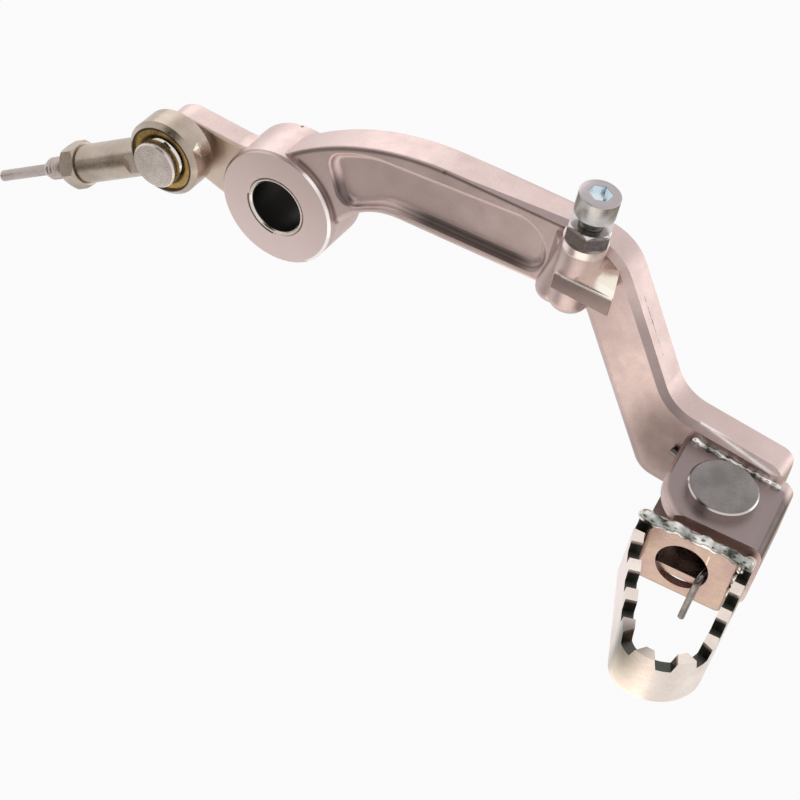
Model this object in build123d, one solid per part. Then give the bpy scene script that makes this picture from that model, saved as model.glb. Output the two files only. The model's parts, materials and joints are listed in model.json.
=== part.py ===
from build123d import *
import os
from math import cos, radians, sin, sqrt, tan

os.makedirs("parts", exist_ok=True)

# Rear brake pedal, millimetres. The origin is on the pivot axis at the middle of the arm's thickness.
# +X runs forward from the hub to the foot, +Y points inboard to the machine, +Z is up.

# Pivot hub and its bush
hub_radius = 16.25
hub_outboard_y = -6.0
hub_inboard_y = 9.0
hub_edge = 0.6
bush_outer_radius = 8.0
bush_bore_radius = 7.0
bush_mouth_chamfer = 0.6
seat_mouth_chamfer = 0.45

# Forged arm: a pocketed bar from the hub to the kink and a plain bar from the kink to the foot
arm_half_thickness = 4.5
bar_edge_radius = 0.5
bar_low_edge_radius = 1.6
bevel_start_x = 40.0
bevel_width = 2.6
bevel_drop = 1.1
leg_edge_radius = 3.0
leg_bevel_drop = 2.2
leg_bevel_width = 0.9
neck_slope_deg = 44.0
bar_top_z = 35.9
bar_top_x = 27.0
bar_slope_deg = 7.2
leg_slope_deg = 56.0
leg_height = 16.4
bar_height = 20.9
neck_bend_x = 18.0
neck_bend_radius = 72.0
belly_bend_x = 23.0
belly_bend_radius = 20.0
belly_root_x = 11.0
belly_root_z = -6.0
kink_x = 89.4
kink_z = 41.8
kink_radius = 13.0
crest_x = 76.9
crest_radius = 6.0
inner_kink_radius = 5.0
bar_lap = 13.0
leg_lap = 16.6
foot_top_z = 6.9
foot_height = 24.5
foot_end_x = 143.6
foot_bend_radius = 11.0
heel_radius = 7.0
foot_end_radius = 4.0

# Sunk panel in each side of the bar
pocket_depth = 2.2
pocket_floor_radius = 2.0
pocket_root_top_x = 10.4
pocket_root_top_z = 23.0
pocket_root_low_x = 17.2
pocket_root_low_z = 9.8
pocket_bend_x = 20.5
pocket_belly_x = 29.0
pocket_rim_at_bend = 5.8
pocket_rim_at_boss = 3.4
pocket_rim_low = 3.0
pocket_screw_gap = 9.9
pocket_lip_radius = 0.8
pocket_root_radius = 4.0
pocket_bend_radius = 30.0
pocket_top_end_radius = 8.5
pocket_low_end_radius = 5.0
pocket_belly_radius = 16.0

# Tail lever that carries the rod end
tail_half_thickness = 3.5
tail_end_radius = 7.0
tail_root_radius = 10.5
tail_root_fillet = 8.0
tail_edge_radius = 0.8
ball_centre_x = -30.0
ball_centre_y = -9.6
ball_centre_z = 2.2
tail_boss_radius = 4.8

# Rod end
rod_angle_deg = 38.5
eye_radius = 10.4
eye_edge = 1.2
eye_width = 8.8
race_radius = 8.6
race_width = 7.8
ball_radius = 7.2
ball_width = 10.0
ball_pin_radius = 3.0
ball_pin_head_radius = 6.25
ball_pin_head_height = 2.6
ball_pin_edge = 0.4
ball_pin_rivet_radius = 4.6
ball_pin_rivet_height = 1.6
rivet_round = 0.8
shank_radius = 5.1
shank_end = 31.0
shank_edge = 0.5
shank_bore_start = 13.0
neck_end = 12.5
thread_radius = 3.0
rod_nut_flats = 11.0
rod_nut_height = 5.0
nut_corner_cut = 0.9
push_rod_inner_end = 17.0
push_rod_edge = 0.5
push_rod_thread_end = 44.0
push_rod_cone_length = 3.0
push_rod_nose_radius = 1.5
push_rod_tip_edge = 0.3
push_rod_end = 64.5

# Stop screw and the boss it sits in
screw_x = 81.4
screw_y = -9.0
boss_radius = 5.2
boss_bottom_z = 23.8
boss_bottom_edge = 3.5
boss_root_rear = 10.9
boss_root_front = 6.0
boss_root_top_z = 38.6
boss_seat_z = 45.2
boss_seat_radius = 5.5
boss_seat_height = 3.3
boss_seat_edge = 1.2
screw_nut_flats = 10.0
screw_nut_height = 4.8
screw_nut_turn_deg = -10.0
screw_head_radius = 5.0
screw_head_height = 6.0
screw_head_edge = 0.7
screw_tip_edge = 0.7
screw_head_z = 53.0
screw_socket_flats = 5.0
screw_socket_depth = 3.2
screw_end_z = 24.2
ledge_inset = 0.3
ledge_top_z = 37.2
ledge_thickness = 5.2
ledge_end_x = 93.4
ledge_root_x = 90.0

# Foot fork, set in its own frame about the step's pivot pin
pin_x = 133.9
pin_y = -15.7
toe_deg = 7.8
fork_top_z = 2.2
fork_height = 19.8
ear_thickness = 3.6
ear_radius = 13.6
ear_front = 15.0
ear_front_cut = 2.1
ear_edge = 1.1
fork_front_radius = 3.3
fork_front_wall = 3.4
pin_radius = 4.0
pin_head_radius = 8.6
pin_head_height = 2.7
pin_head_edge = 0.5
pin_rivet_radius = 6.0
pin_rivet_height = 2.0

# Folding step: bracket, toothed loop and spring
sheet = 2.2
bracket_rear = 11.4
bracket_top_drop = 0.8
bracket_below_fork = 0.8
bracket_corner = 2.0
bracket_edge = 1.2
bracket_hole_radius = 6.5
bracket_hole_u = -1.0
bracket_hole_drop = 10.4
flange_radius = 9.0
strip = 2.8
strip_height = 13.8
strip_top_drop = 1.0
strip_bend_reach = 20.5
strip_rear_end_u = -3.3
strip_reach = 52.2
strip_bend_radius = 12.0
strip_rear_corner_radius = 6.5
strip_front_corner_radius = 11.0
tooth_count = 10
tooth_depth = 3.0
tooth_share = 0.5
tooth_flank = 1.8
tooth_start = 0.4
wire_radius = 0.85
coil_radius = 7.5
coil_pitch = 1.8
leg_exit_deg = -13.2
leg_anchor_deg = 73.2
coil_full_turns = 2
spring_bend_radius = 2.4
spring_leg_lean = -0.45
spring_leg_reach = 25.0
spring_rest_gap = 0.02

# Clearances
running_gap = 0.04
side_gap = 0.1
swing_gap = 0.25
coil_gap = 0.25


def slab(face, outboard_y, inboard_y):
    # An outline drawn in X and Z, given thickness across the pedal
    return extrude(Plane.XZ.offset(-inboard_y) * face, inboard_y - outboard_y)


def cross_rod(radius, x, z, outboard_y, inboard_y):
    return slab(Pos(x, z) * Circle(radius), outboard_y, inboard_y)


def up_rod(radius, x, y, low_z, high_z):
    return Pos(x, y, low_z) * extrude(Circle(radius), high_z - low_z)


def outline(corners, radii):
    return make_face(FilletPolyline(*corners, radius=radii, close=True))


def side_edges(solid):
    # The edges round the two broad faces of a slab
    faces = solid.faces().filter_by(Axis.Y).sort_by(Axis.Y)
    return faces[0].edges() + faces[-1].edges()


def hex_nut(flats, height, bore):
    # A nut along Z from the origin, with its corners turned off at both ends
    corner_radius = flats / sqrt(3)
    blank = extrude(RegularPolygon(corner_radius, 6), height)
    corner_cut = (corner_radius - flats / 2) * nut_corner_cut
    turned = chamfer(extrude(Circle(corner_radius), height).edges(), corner_cut)
    return (blank & turned) - extrude(Circle(bore), height)


# Lines that the arm's outline follows
bar_rise = tan(radians(bar_slope_deg))
leg_fall = tan(radians(leg_slope_deg))
bar_drop = bar_height / cos(radians(bar_slope_deg))
leg_drop = leg_height / cos(radians(leg_slope_deg))
foot_bottom_z = foot_top_z - foot_height
arm_face_y = -arm_half_thickness


def bar_top(x):
    return bar_top_z + (x - bar_top_x) * bar_rise


def bar_bottom(x):
    return bar_top(x) - bar_drop


def leg_top_x(z):
    return kink_x + (kink_z - z) / leg_fall


def leg_bottom_x(z):
    return leg_top_x(z) - leg_height / sin(radians(leg_slope_deg))


bar_end_x = kink_x - bar_lap
leg_start_x = kink_x - leg_lap
inner_kink_x = (kink_z - leg_drop + kink_x * leg_fall - bar_top(0) + bar_drop) / (leg_fall + bar_rise)
inner_kink_z = bar_bottom(inner_kink_x)


def top_bevel():
    # A flat cut along each top edge of the bar: nothing at the neck, widest at the kink
    end_z = bar_top(kink_x)
    start = Vector(bevel_start_x, arm_face_y, bar_top(bevel_start_x))
    low = Vector(kink_x, arm_face_y, end_z - bevel_drop)
    high = Vector(kink_x, arm_face_y + bevel_width, end_z)
    reach = 2 * (kink_x - bevel_start_x)
    above = Box(reach, reach, reach, align=(Align.CENTER, Align.CENTER, Align.MIN))
    cut = Plane(start, z_dir=(low - start).cross(high - start)) * above
    return cut + mirror(cut, Plane.XZ)


def pedal_bar():
    # Crisp along its upper edges and rounded along its lower ones
    bend_z = bar_top(neck_bend_x)
    root_x = neck_bend_x - (bend_z - hub_radius / 2) / tan(radians(neck_slope_deg))
    corners = [
        (root_x, hub_radius / 2),
        (neck_bend_x, bend_z),
        (bar_end_x, bar_top(bar_end_x)),
        (bar_end_x, bar_bottom(bar_end_x)),
        (belly_bend_x, bar_bottom(belly_bend_x)),
        (belly_root_x, belly_root_z),
    ]
    radii = [0, neck_bend_radius, 0, 0, belly_bend_radius, 0]
    crisp = slab(outline(corners, radii), arm_face_y, -arm_face_y)
    clear_z = bar_top(bar_end_x) + bar_height
    open_top = [(root_x - 2 * hub_radius, clear_z), (bar_end_x, clear_z)]
    soft = slab(outline(open_top + corners[3:], [0, 0] + radii[3:]), arm_face_y, -arm_face_y)
    return fillet(side_edges(crisp), bar_edge_radius) & fillet(side_edges(soft), bar_low_edge_radius)


def pedal_leg():
    # Bevelled along its upper edges and well rounded along its lower ones
    top = [
        (leg_start_x, bar_top(leg_start_x)),
        (crest_x, bar_top(crest_x)),
        (kink_x, kink_z),
        (leg_top_x(foot_top_z), foot_top_z),
        (foot_end_x, foot_top_z),
    ]
    top_radii = [0, crest_radius, kink_radius, foot_bend_radius, foot_end_radius]
    bottom = [
        (foot_end_x, foot_bottom_z),
        (leg_bottom_x(foot_bottom_z), foot_bottom_z),
        (inner_kink_x, inner_kink_z),
        (leg_start_x, bar_bottom(leg_start_x)),
    ]
    bottom_radii = [foot_end_radius, heel_radius, inner_kink_radius, 0]
    bevelled = slab(outline(top + bottom, top_radii + bottom_radii), arm_face_y, -arm_face_y)
    for i in (0, -1):
        side = bevelled.faces().filter_by(Axis.Y).sort_by(Axis.Y)[i]
        bevelled = chamfer(side.edges(), leg_bevel_drop, leg_bevel_width, reference=side)
    clear_z = kink_z + leg_height
    open_top = [(leg_start_x, clear_z), (foot_end_x, clear_z)]
    rounded = slab(outline(open_top + bottom, [0, 0] + bottom_radii), arm_face_y, -arm_face_y)
    return bevelled & fillet(side_edges(rounded), leg_edge_radius)


def arm_pocket():
    # The sunk panels of the I section, with walls that run into their floor in a curve
    end_x = screw_x - pocket_screw_gap
    corners = [
        (pocket_root_top_x, pocket_root_top_z),
        (pocket_bend_x, bar_top(pocket_bend_x) - pocket_rim_at_bend),
        (end_x, bar_top(end_x) - pocket_rim_at_boss),
        (end_x, bar_bottom(end_x) + pocket_rim_low),
        (pocket_belly_x, bar_bottom(pocket_belly_x) + pocket_rim_low),
        (pocket_root_low_x, pocket_root_low_z),
    ]
    radii = [
        pocket_root_radius,
        pocket_bend_radius,
        pocket_top_end_radius,
        pocket_low_end_radius,
        pocket_belly_radius,
        pocket_root_radius,
    ]
    sunk = slab(outline(corners, radii), -arm_half_thickness, -arm_half_thickness + pocket_depth)
    sunk = fillet(sunk.faces().sort_by(Axis.Y)[-1].edges(), pocket_floor_radius)
    return sunk + mirror(sunk, Plane.XZ)


def screw_boss():
    # A post with flanks that spread to the arm's side, a round seat for the nut and a ledge to the front
    root_y = arm_face_y + leg_edge_radius
    root = Line((screw_x - boss_root_rear, root_y), (screw_x + boss_root_front, root_y))
    post_face = make_hull((Pos(screw_x, screw_y) * Circle(boss_radius)).edges() + root.edges())
    post = Pos(0, 0, boss_bottom_z) * extrude(post_face, boss_root_top_z - boss_bottom_z)
    low_edges = post.faces().sort_by(Axis.Z)[0].edges()
    post = fillet(low_edges.sort_by(Axis.Y)[:-1], boss_bottom_edge)
    neck = up_rod(boss_radius, screw_x, screw_y, ledge_top_z, boss_seat_z)
    seat = up_rod(boss_seat_radius, screw_x, screw_y, boss_seat_z - boss_seat_height, boss_seat_z)
    seat = fillet(seat.edges().sort_by(Axis.Z)[0], boss_seat_edge)
    ledge_front_y = screw_y - boss_radius + ledge_inset
    ledge_plan = Polyline(
        (screw_x, root_y),
        (screw_x, ledge_front_y),
        (ledge_end_x, ledge_front_y),
        (ledge_root_x, arm_face_y),
        (ledge_root_x, root_y),
        close=True,
    )
    ledge = Pos(0, 0, ledge_top_z - ledge_thickness) * extrude(make_face(ledge_plan), ledge_thickness)
    return post + neck + seat + ledge


fork_frame = Location((pin_x, pin_y, 0), (0, 0, toe_deg))
fork_bottom_z = fork_top_z - fork_height
slot_top_z = fork_top_z - ear_thickness
slot_bottom_z = fork_bottom_z + ear_thickness
slot_front = ear_front - fork_front_wall


def foot_fork():
    ear_outboard = ear_radius - ear_front_cut
    arc_end = -sqrt(ear_radius**2 - ear_outboard**2)
    side = Line((-ear_radius, ear_radius), (-ear_radius, 0))
    nose = RadiusArc((-ear_radius, 0), (arc_end, -ear_outboard), -ear_radius)
    rest = Polyline(
        (arc_end, -ear_outboard),
        (ear_front, -ear_outboard),
        (ear_front, ear_radius),
        (-ear_radius, ear_radius),
    )
    block = Pos(0, 0, fork_bottom_z) * extrude(make_face([side, nose, rest]), fork_height)
    front = block.faces().sort_by(Axis.X)[-1]
    block = fillet(front.edges().filter_by(Axis.Y), fork_front_radius)
    rounded = [e for e in block.edges().filter_by(GeomType.CIRCLE) if abs(e.radius - ear_radius) < 0.01]
    block = chamfer(rounded, ear_edge)
    slot_length = slot_front + 2 * ear_radius
    slot = Pos(slot_front - slot_length / 2, 0, (slot_top_z + slot_bottom_z) / 2) * Box(
        slot_length, 4 * ear_radius, slot_top_z - slot_bottom_z
    )
    reach = 4 * ear_radius
    outside = Pos(pin_x, arm_face_y - reach / 2, 0) * Box(reach, reach, 2 * fork_height)
    joined = Pos(0, leg_edge_radius, 0) * outside
    return ((fork_frame * block) & joined) - ((fork_frame * slot) & outside)


def pedal_arm():
    hub = cross_rod(hub_radius, 0, 0, hub_outboard_y, hub_inboard_y)
    hub = chamfer(hub.edges(), hub_edge)
    tail_end = Pos(ball_centre_x, ball_centre_z) * Circle(tail_end_radius)
    tail_face = make_hull(Circle(tail_root_radius).edges() + tail_end.edges())
    tail_face += Circle(hub_radius - hub_edge)
    tail_corners = [v for v in tail_face.vertices() if v.X < 0 and Vector(v.X, v.Y).length < hub_radius]
    tail_face = fillet(tail_corners, tail_root_fillet)
    tail = slab(tail_face, -tail_half_thickness, tail_half_thickness)
    tail = fillet(side_edges(tail), tail_edge_radius)
    boss_face_y = ball_centre_y + ball_width / 2 + side_gap / 2
    tail_boss = cross_rod(tail_boss_radius, ball_centre_x, ball_centre_z, boss_face_y, 0)
    bar = pedal_bar() - arm_pocket()
    lips = bar.faces().filter_by(Axis.Y).filter_by(lambda f: len(f.inner_wires()) > 0)
    bar = fillet([e for f in lips for w in f.inner_wires() for e in w.edges()], pocket_lip_radius)
    arm = bar + pedal_leg() - top_bevel()
    arm = arm + hub + tail + tail_boss + screw_boss() + foot_fork()
    arm -= cross_rod(bush_outer_radius, 0, 0, hub_outboard_y, hub_inboard_y)
    mouths = [e for e in arm.edges().filter_by(GeomType.CIRCLE) if abs(e.radius - bush_outer_radius) < 0.01]
    arm = chamfer([e for e in mouths if abs(e.arc_center.Z) < 0.01], seat_mouth_chamfer)
    arm -= cross_rod(ball_pin_radius, ball_centre_x, ball_centre_z, ball_centre_y, arm_half_thickness)
    arm -= up_rod(thread_radius + running_gap, screw_x, screw_y, boss_bottom_z, boss_seat_z)
    arm -= up_rod(pin_radius, pin_x, pin_y, fork_bottom_z, fork_top_z)
    return arm


def pivot_bush():
    bush = cross_rod(bush_outer_radius, 0, 0, hub_outboard_y, hub_inboard_y)
    bush -= cross_rod(bush_bore_radius, 0, 0, hub_outboard_y, hub_inboard_y)
    mouths = [e for e in bush.edges().filter_by(GeomType.CIRCLE) if abs(e.radius - bush_bore_radius) < 0.01]
    return chamfer(mouths, bush_mouth_chamfer)


# The rod end is drawn with its eye at the origin and its shank along +X, then turned into place
rod_frame = Location((ball_centre_x, ball_centre_y, ball_centre_z), (0, 180 - rod_angle_deg, 0))


def shank_rod(radius, start, end):
    return Plane.YZ.offset(start) * extrude(Circle(radius), end - start)


def rod_end_body():
    eye = cross_rod(eye_radius, 0, 0, -eye_width / 2, eye_width / 2)
    eye = chamfer(eye.edges(), eye_edge)
    shank = chamfer(shank_rod(shank_radius, 0, shank_end).edges().sort_by(Axis.X)[-1], shank_edge)
    neck = Pos(neck_end / 2, 0, 0) * Box(neck_end, 2 * shank_radius, 2 * eye_radius)
    flat = Pos(neck_end / 2, 0, 0) * Box(neck_end, eye_width, 2 * eye_radius)
    body = eye + (shank - (neck - flat))
    body -= cross_rod(race_radius, 0, 0, -eye_width / 2, eye_width / 2)
    body -= shank_rod(thread_radius + running_gap, shank_bore_start, shank_end)
    return rod_frame * body


def rod_end_race():
    ring = cross_rod(race_radius, 0, 0, -race_width / 2, race_width / 2)
    return rod_frame * (ring - Sphere(ball_radius + running_gap))


def rod_end_ball():
    ball = Sphere(ball_radius) & cross_rod(ball_radius, 0, 0, -ball_width / 2, ball_width / 2)
    return rod_frame * (ball - cross_rod(ball_pin_radius + running_gap, 0, 0, -ball_width, ball_width))


def rod_end_pin():
    head_y = ball_centre_y - ball_width / 2 - side_gap / 2
    head = cross_rod(
        ball_pin_head_radius, ball_centre_x, ball_centre_z, head_y - ball_pin_head_height, head_y
    )
    head = chamfer(head.edges().sort_by(Axis.Y)[0], ball_pin_edge)
    stem = cross_rod(ball_pin_radius, ball_centre_x, ball_centre_z, head_y, tail_half_thickness)
    rivet = cross_rod(
        ball_pin_rivet_radius,
        ball_centre_x,
        ball_centre_z,
        tail_half_thickness,
        tail_half_thickness + ball_pin_rivet_height,
    )
    rivet = fillet(rivet.edges().sort_by(Axis.Y)[-1], ball_pin_rivet_height * rivet_round)
    return head + stem + rivet


def rod_end_lock_nut():
    nut = hex_nut(rod_nut_flats, rod_nut_height, thread_radius + running_gap)
    return rod_frame * (Plane.YZ.offset(shank_end) * nut)


def push_rod():
    cone_end = push_rod_thread_end + push_rod_cone_length
    profile = Polyline(
        (push_rod_inner_end, 0),
        (push_rod_inner_end, thread_radius - push_rod_edge),
        (push_rod_inner_end + push_rod_edge, thread_radius),
        (push_rod_thread_end, thread_radius),
        (cone_end, push_rod_nose_radius),
        (push_rod_end - push_rod_tip_edge, push_rod_nose_radius),
        (push_rod_end, push_rod_nose_radius - push_rod_tip_edge),
        (push_rod_end, 0),
        close=True,
    )
    return rod_frame * revolve(make_face(profile), Axis.X)


def stop_screw():
    head_top_z = screw_head_z + screw_head_height
    head = up_rod(screw_head_radius, 0, 0, screw_head_z, head_top_z)
    head = fillet(head.edges().sort_by(Axis.Z)[-1], screw_head_edge)
    socket = extrude(RegularPolygon(screw_socket_flats / sqrt(3), 6), screw_socket_depth)
    head -= Pos(0, 0, head_top_z - screw_socket_depth) * socket
    stem = up_rod(thread_radius, 0, 0, screw_end_z, screw_head_z)
    stem = chamfer(stem.edges().sort_by(Axis.Z)[0], screw_tip_edge)
    return Pos(screw_x, screw_y, 0) * (head + stem)


def stop_screw_lock_nut():
    nut = hex_nut(screw_nut_flats, screw_nut_height, thread_radius + running_gap)
    return Pos(screw_x, screw_y, boss_seat_z) * Rot(0, 0, screw_nut_turn_deg) * nut


web_inner = ear_radius + swing_gap
web_outer = web_inner + sheet
bracket_front = slot_front - side_gap
bracket_top_z = fork_top_z - bracket_top_drop
bracket_bottom_z = fork_bottom_z - bracket_below_fork
bracket_height = bracket_top_z - bracket_bottom_z
upper_flange_z = slot_top_z - side_gap - sheet
strip_top_z = bracket_top_z - strip_top_drop


def step_bracket():
    web_middle = ((bracket_front - bracket_rear) / 2, bracket_top_z - bracket_height / 2)
    web_width = bracket_front + bracket_rear
    web_face = Pos(*web_middle) * RectangleRounded(web_width, bracket_height, bracket_corner)
    web_face -= Pos(bracket_hole_u, bracket_top_z - bracket_hole_drop) * Circle(bracket_hole_radius)
    web = slab(web_face, -web_outer, -web_inner)
    web = fillet(web.faces().sort_by(Axis.Y)[0].outer_wire().edges(), bracket_edge)
    knuckle_length = web_inner + sheet / 2
    ear = Circle(flange_radius) + Pos((bracket_front - flange_radius) / 2, -knuckle_length / 2) * Rectangle(
        bracket_front + flange_radius, knuckle_length
    )
    ear -= Circle(pin_radius + running_gap)
    upper = Pos(0, 0, upper_flange_z) * extrude(ear, sheet)
    lower = Pos(0, 0, slot_bottom_z + side_gap) * extrude(ear, sheet)
    return fork_frame * (web + upper + lower)


def step_cleat():
    front_u = bracket_front + strip / 2
    rear_u = -bracket_rear - strip / 2
    path = FilletPolyline(
        (rear_u, -web_inner),
        (rear_u, -strip_bend_reach),
        (strip_rear_end_u, -strip_reach),
        (front_u, -strip_reach),
        (front_u, -web_inner),
        radius=[strip_bend_radius, strip_rear_corner_radius, strip_front_corner_radius],
    )
    band = Pos(0, 0, strip_top_z - strip_height) * extrude(
        make_face(path.wire().offset_2d(strip / 2, side=Side.BOTH)), strip_height
    )
    pitch = 1 / tooth_count
    gap = path.length * pitch * (1 - tooth_share)
    top_half = (gap + 1.5 * tooth_flank) / 2
    floor_half = (gap - 0.5 * tooth_flank) / 2
    notch_face = Polyline(
        (-top_half, tooth_depth),
        (-floor_half, -tooth_depth),
        (floor_half, -tooth_depth),
        (top_half, tooth_depth),
        close=True,
    )
    notch = slab(make_face(notch_face), -strip, strip)
    for i in range(tooth_count):
        place = path.position_at((i + tooth_start) * pitch)
        heading = path.tangent_at((i + tooth_start) * pitch)
        turn = Axis.X.direction.get_signed_angle(heading, Vector(0, 0, 1))
        band -= Location((place.X, place.Y, strip_top_z), (0, 0, turn)) * notch
    plate_space = Pos((bracket_front - bracket_rear) / 2, 0, 0) * Box(
        bracket_front + bracket_rear, 2 * web_outer, 4 * strip_height
    )
    return fork_frame * (band - plate_space)


def step_pivot_pin():
    head = up_rod(pin_head_radius, 0, 0, fork_top_z, fork_top_z + pin_head_height)
    head = chamfer(head.edges().sort_by(Axis.Z)[-1], pin_head_edge)
    stem = up_rod(pin_radius, 0, 0, fork_bottom_z, fork_top_z)
    rivet = up_rod(pin_rivet_radius, 0, 0, fork_bottom_z - pin_rivet_height, fork_bottom_z)
    rivet = fillet(rivet.edges().sort_by(Axis.Z)[0], pin_rivet_height * rivet_round)
    return Pos(pin_x, pin_y, 0) * (head + stem + rivet)


def step_spring():
    # A torsion spring: one leg lies down the bracket's plate, the other bears on the arm's side
    turns = coil_full_turns + (leg_anchor_deg - leg_exit_deg) / 360
    coil_low_z = upper_flange_z - coil_gap - wire_radius - coil_pitch * turns
    helix = Helix(coil_pitch, coil_pitch * turns, coil_radius)
    coil = Pos(0, 0, coil_low_z) * Rot(0, 0, leg_exit_deg) * helix
    leave = -(coil % 0)
    plate_v = -web_outer - wire_radius - spring_rest_gap
    corner = coil @ 0 + leave * ((plate_v - (coil @ 0).Y) / leave.Y)
    foot = Vector(corner.X + spring_leg_lean, plate_v, bracket_top_z - spring_leg_reach)
    exit_leg = FilletPolyline(foot, corner, coil @ 0, radius=spring_bend_radius)
    inboard = Vector(sin(radians(toe_deg)), cos(radians(toe_deg)), 0)
    room = arm_face_y - wire_radius - spring_rest_gap - pin_y - (coil @ 1).dot(inboard)
    anchor_leg = Line(coil @ 1, coil @ 1 + (coil % 1) * (room / (coil % 1).dot(inboard)))
    path = Wire(exit_leg.edges() + coil.edges() + anchor_leg.edges())
    section = Plane(foot, z_dir=path % 0) * Circle(wire_radius)
    return fork_frame * sweep(section, path)


nodes = {
    "pedal_arm": pedal_arm,
    "pivot_bush": pivot_bush,
    "rod_end_body": rod_end_body,
    "rod_end_race": rod_end_race,
    "rod_end_ball": rod_end_ball,
    "rod_end_pin": rod_end_pin,
    "rod_end_lock_nut": rod_end_lock_nut,
    "push_rod": push_rod,
    "stop_screw": stop_screw,
    "stop_screw_lock_nut": stop_screw_lock_nut,
    "step_bracket": step_bracket,
    "step_cleat": step_cleat,
    "step_pivot_pin": step_pivot_pin,
    "step_spring": step_spring,
}

for name, build in nodes.items():
    export_step(build(), f"parts/{name}.step")
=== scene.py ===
import json
import math
import random

import bpy
from mathutils import Matrix, Vector

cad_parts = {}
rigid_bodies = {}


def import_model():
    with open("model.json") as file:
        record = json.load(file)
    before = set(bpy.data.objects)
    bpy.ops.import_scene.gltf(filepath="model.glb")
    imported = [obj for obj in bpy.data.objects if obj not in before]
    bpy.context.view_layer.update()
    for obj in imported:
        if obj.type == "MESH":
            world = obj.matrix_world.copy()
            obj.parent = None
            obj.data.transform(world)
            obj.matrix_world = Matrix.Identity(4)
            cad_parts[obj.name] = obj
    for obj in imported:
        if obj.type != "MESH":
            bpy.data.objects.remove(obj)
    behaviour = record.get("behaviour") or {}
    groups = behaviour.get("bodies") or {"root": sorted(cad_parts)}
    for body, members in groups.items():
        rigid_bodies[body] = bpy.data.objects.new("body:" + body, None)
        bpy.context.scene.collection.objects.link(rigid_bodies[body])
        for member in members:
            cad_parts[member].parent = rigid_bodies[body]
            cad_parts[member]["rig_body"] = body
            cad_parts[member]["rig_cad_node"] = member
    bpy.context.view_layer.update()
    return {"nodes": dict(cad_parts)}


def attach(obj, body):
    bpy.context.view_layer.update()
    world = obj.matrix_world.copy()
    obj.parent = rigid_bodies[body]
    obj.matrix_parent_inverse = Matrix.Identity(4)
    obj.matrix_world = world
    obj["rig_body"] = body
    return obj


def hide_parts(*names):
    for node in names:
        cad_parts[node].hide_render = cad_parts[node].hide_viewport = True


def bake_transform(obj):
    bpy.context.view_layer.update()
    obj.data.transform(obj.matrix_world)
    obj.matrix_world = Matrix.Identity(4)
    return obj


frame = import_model()
nodes = frame["nodes"]
mm = 0.001
print("frame loaded,", len(nodes), "CAD nodes")

# Axes that several pieces share, in mm

eyeX, eyeY, eyeZ = -30.0, -9.6, 2.2  # middle of the rod end's ball
screwX, screwY = 81.4, -9.0  # upright axis of the stop screw
pinX, pinY, pinZ = 133.9, -15.7, -7.7  # middle of the pin that the step folds about
toeDeg = 7.8  # how far the step points forward of straight out


def inMm(x, y, z):  # a place or a size given in mm
    return (x * mm, y * mm, z * mm)


# Small helpers for working by hand in edit mode

closing = dict(weldGap=0.00001, holeSides=8, smoothDeg=32)  # how a finished mesh is closed and shaded


def clearSelection():
    if bpy.context.object and bpy.context.object.mode != "OBJECT":
        bpy.ops.object.mode_set(mode="OBJECT")
    bpy.ops.object.select_all(action="DESELECT")


def pickPiece(piece):
    clearSelection()
    piece.select_set(True)
    bpy.context.view_layer.objects.active = piece


def pickVerts(piece, wanted):  # selects the vertices whose place passes the test
    bpy.ops.mesh.select_mode(type="VERT")
    bpy.ops.mesh.select_all(action="DESELECT")
    bpy.ops.object.mode_set(mode="OBJECT")
    for vert in piece.data.vertices:
        vert.select = wanted(vert.co)
    bpy.ops.object.mode_set(mode="EDIT")


def startDisc(radius, sides, place=(0, 0, 0)):  # a filled circle, selected and open for editing
    clearSelection()
    bpy.ops.mesh.primitive_circle_add(
        vertices=sides, radius=radius, fill_type="NGON", location=place, enter_editmode=True
    )
    bpy.ops.mesh.select_all(action="SELECT")
    return bpy.context.object


def raiseRing(height, grow):  # pulls the selected end up and makes it wider or narrower
    bpy.ops.mesh.extrude_region_move(TRANSFORM_OT_translate={"value": (0, 0, height)})
    bpy.ops.transform.resize(value=(grow, grow, 1))


def applyAll(piece):
    bpy.context.view_layer.objects.active = piece
    for modifier in list(piece.modifiers):
        bpy.ops.object.modifier_apply(modifier=modifier.name)


def cutAway(piece, cutter):  # takes the cutter's form out of the piece
    hollow = piece.modifiers.new("hollow", "BOOLEAN")
    hollow.operation = "DIFFERENCE"
    hollow.solver = "EXACT"
    hollow.object = cutter
    applyAll(piece)
    bpy.data.objects.remove(cutter)


def joinPieces(pieces, name):
    pickPiece(pieces[0])
    for piece in pieces[1:]:
        piece.select_set(True)
    bpy.ops.object.join()
    pieces[0].name = name
    pieces[0].data.name = name
    return pieces[0]


def settle(piece, place, turn=Matrix.Identity(3)):  # moves a piece made at the origin into place
    pickPiece(piece)
    piece.matrix_world = Matrix.Translation(place) @ turn.to_4x4()
    bpy.ops.object.transform_apply(location=True, rotation=True, scale=True)


def outwards(piece):
    pickPiece(piece)
    bpy.ops.object.mode_set(mode="EDIT")
    bpy.ops.mesh.select_all(action="SELECT")
    bpy.ops.mesh.remove_doubles(threshold=closing["weldGap"])
    bpy.ops.mesh.fill_holes(sides=closing["holeSides"])
    bpy.ops.mesh.normals_make_consistent(inside=False)
    bpy.ops.object.mode_set(mode="OBJECT")
    bpy.ops.object.shade_smooth_by_angle(angle=math.radians(closing["smoothDeg"]))


# Metal finishes

skin = dict(  # what the finishes share
    cloudDetail=4,
    cloudRange=(0.35, 0.65),
    grainDetail=3,
    grainRange=(0.3, 0.6),
    markRange=(0.3, 0.7),
    bumpDepth=0.0002,
    ringWander=0.05,
)


def feed(tree, socket, value):  # a link or a plain value
    if isinstance(value, bpy.types.NodeSocket):
        tree.links.new(value, socket)
    else:
        socket.default_value = value


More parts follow.
